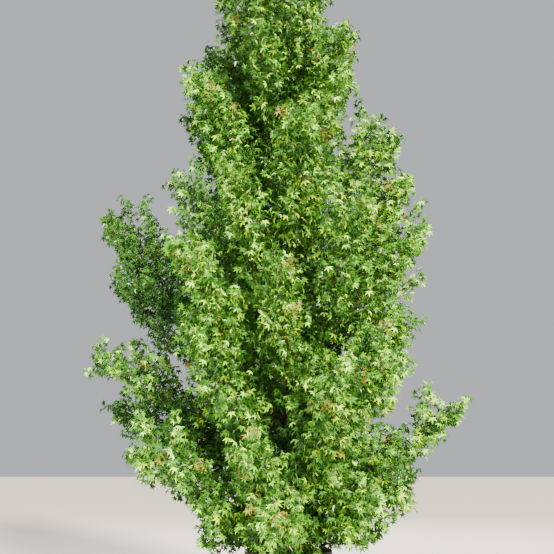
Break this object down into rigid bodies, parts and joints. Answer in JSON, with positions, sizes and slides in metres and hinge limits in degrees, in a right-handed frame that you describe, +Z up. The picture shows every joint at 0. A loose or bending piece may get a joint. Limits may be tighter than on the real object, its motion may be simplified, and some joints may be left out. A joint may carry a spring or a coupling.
{
  "type": "potted sweetgum",
  "caption": "Young sweetgum tree, leafy down to its foot, with upswept boughs and star-shaped leaves, in a plain round pot.",
  "frame": {"origin": "middle of the pot's flat underside", "axes": "+Z up along the trunk, -Y towards the side seen in the picture, +X to that view's right"},
  "size_m": [3.1663, 2.9392, 6.0205],
  "materials": {
    "pot": "matt black polypropylene",
    "potting_mix": "rough, loose bark and fibre",
    "bark": "rough, furrowed",
    "foliage": "satin leaves"
  },
  "bodies": {
    "root": {"pot": "pot", "soil": "potting_mix", "trunk": "bark", "bough_01": "bark", "bough_02": "bark", "bough_03": "bark", "bough_04": "bark", "bough_05": "bark", "bough_06": "bark", "bough_07": "bark", "bough_08": "bark", "bough_09": "bark", "bough_10": "bark", "bough_11": "bark", "bough_12": "bark", "bough_13": "bark", "bough_14": "bark", "bough_foot_left": "bark", "bough_foot_right": "bark", "bough_high_left": "bark", "bough_high_right": "bark", "bough_inner_left": "bark", "bough_low_left": "bark", "bough_low_right": "bark", "bough_middle_left": "bark", "bough_middle_right": "bark", "bough_shaded_left": "bark", "bough_shoot_left": "bark", "bough_shoot_right": "bark", "bough_stray_left": "bark", "bough_upper_right": "bark", "foliage_01": "foliage", "foliage_02": "foliage", "foliage_03": "foliage", "foliage_04": "foliage", "foliage_05": "foliage", "foliage_06": "foliage", "foliage_07": "foliage", "foliage_08": "foliage", "foliage_09": "foliage", "foliage_10": "foliage", "foliage_11": "foliage", "foliage_12": "foliage", "foliage_13": "foliage", "foliage_14": "foliage", "foliage_foot_left": "foliage", "foliage_foot_right": "foliage", "foliage_high_left": "foliage", "foliage_high_right": "foliage", "foliage_inner_left": "foliage", "foliage_low_left": "foliage", "foliage_low_right": "foliage", "foliage_middle_left": "foliage", "foliage_middle_right": "foliage", "foliage_shaded_left": "foliage", "foliage_shoot_left": "foliage", "foliage_shoot_right": "foliage", "foliage_stray_left": "foliage", "foliage_top": "foliage", "foliage_upper_right": "foliage"}
  },
  "joints": []
}
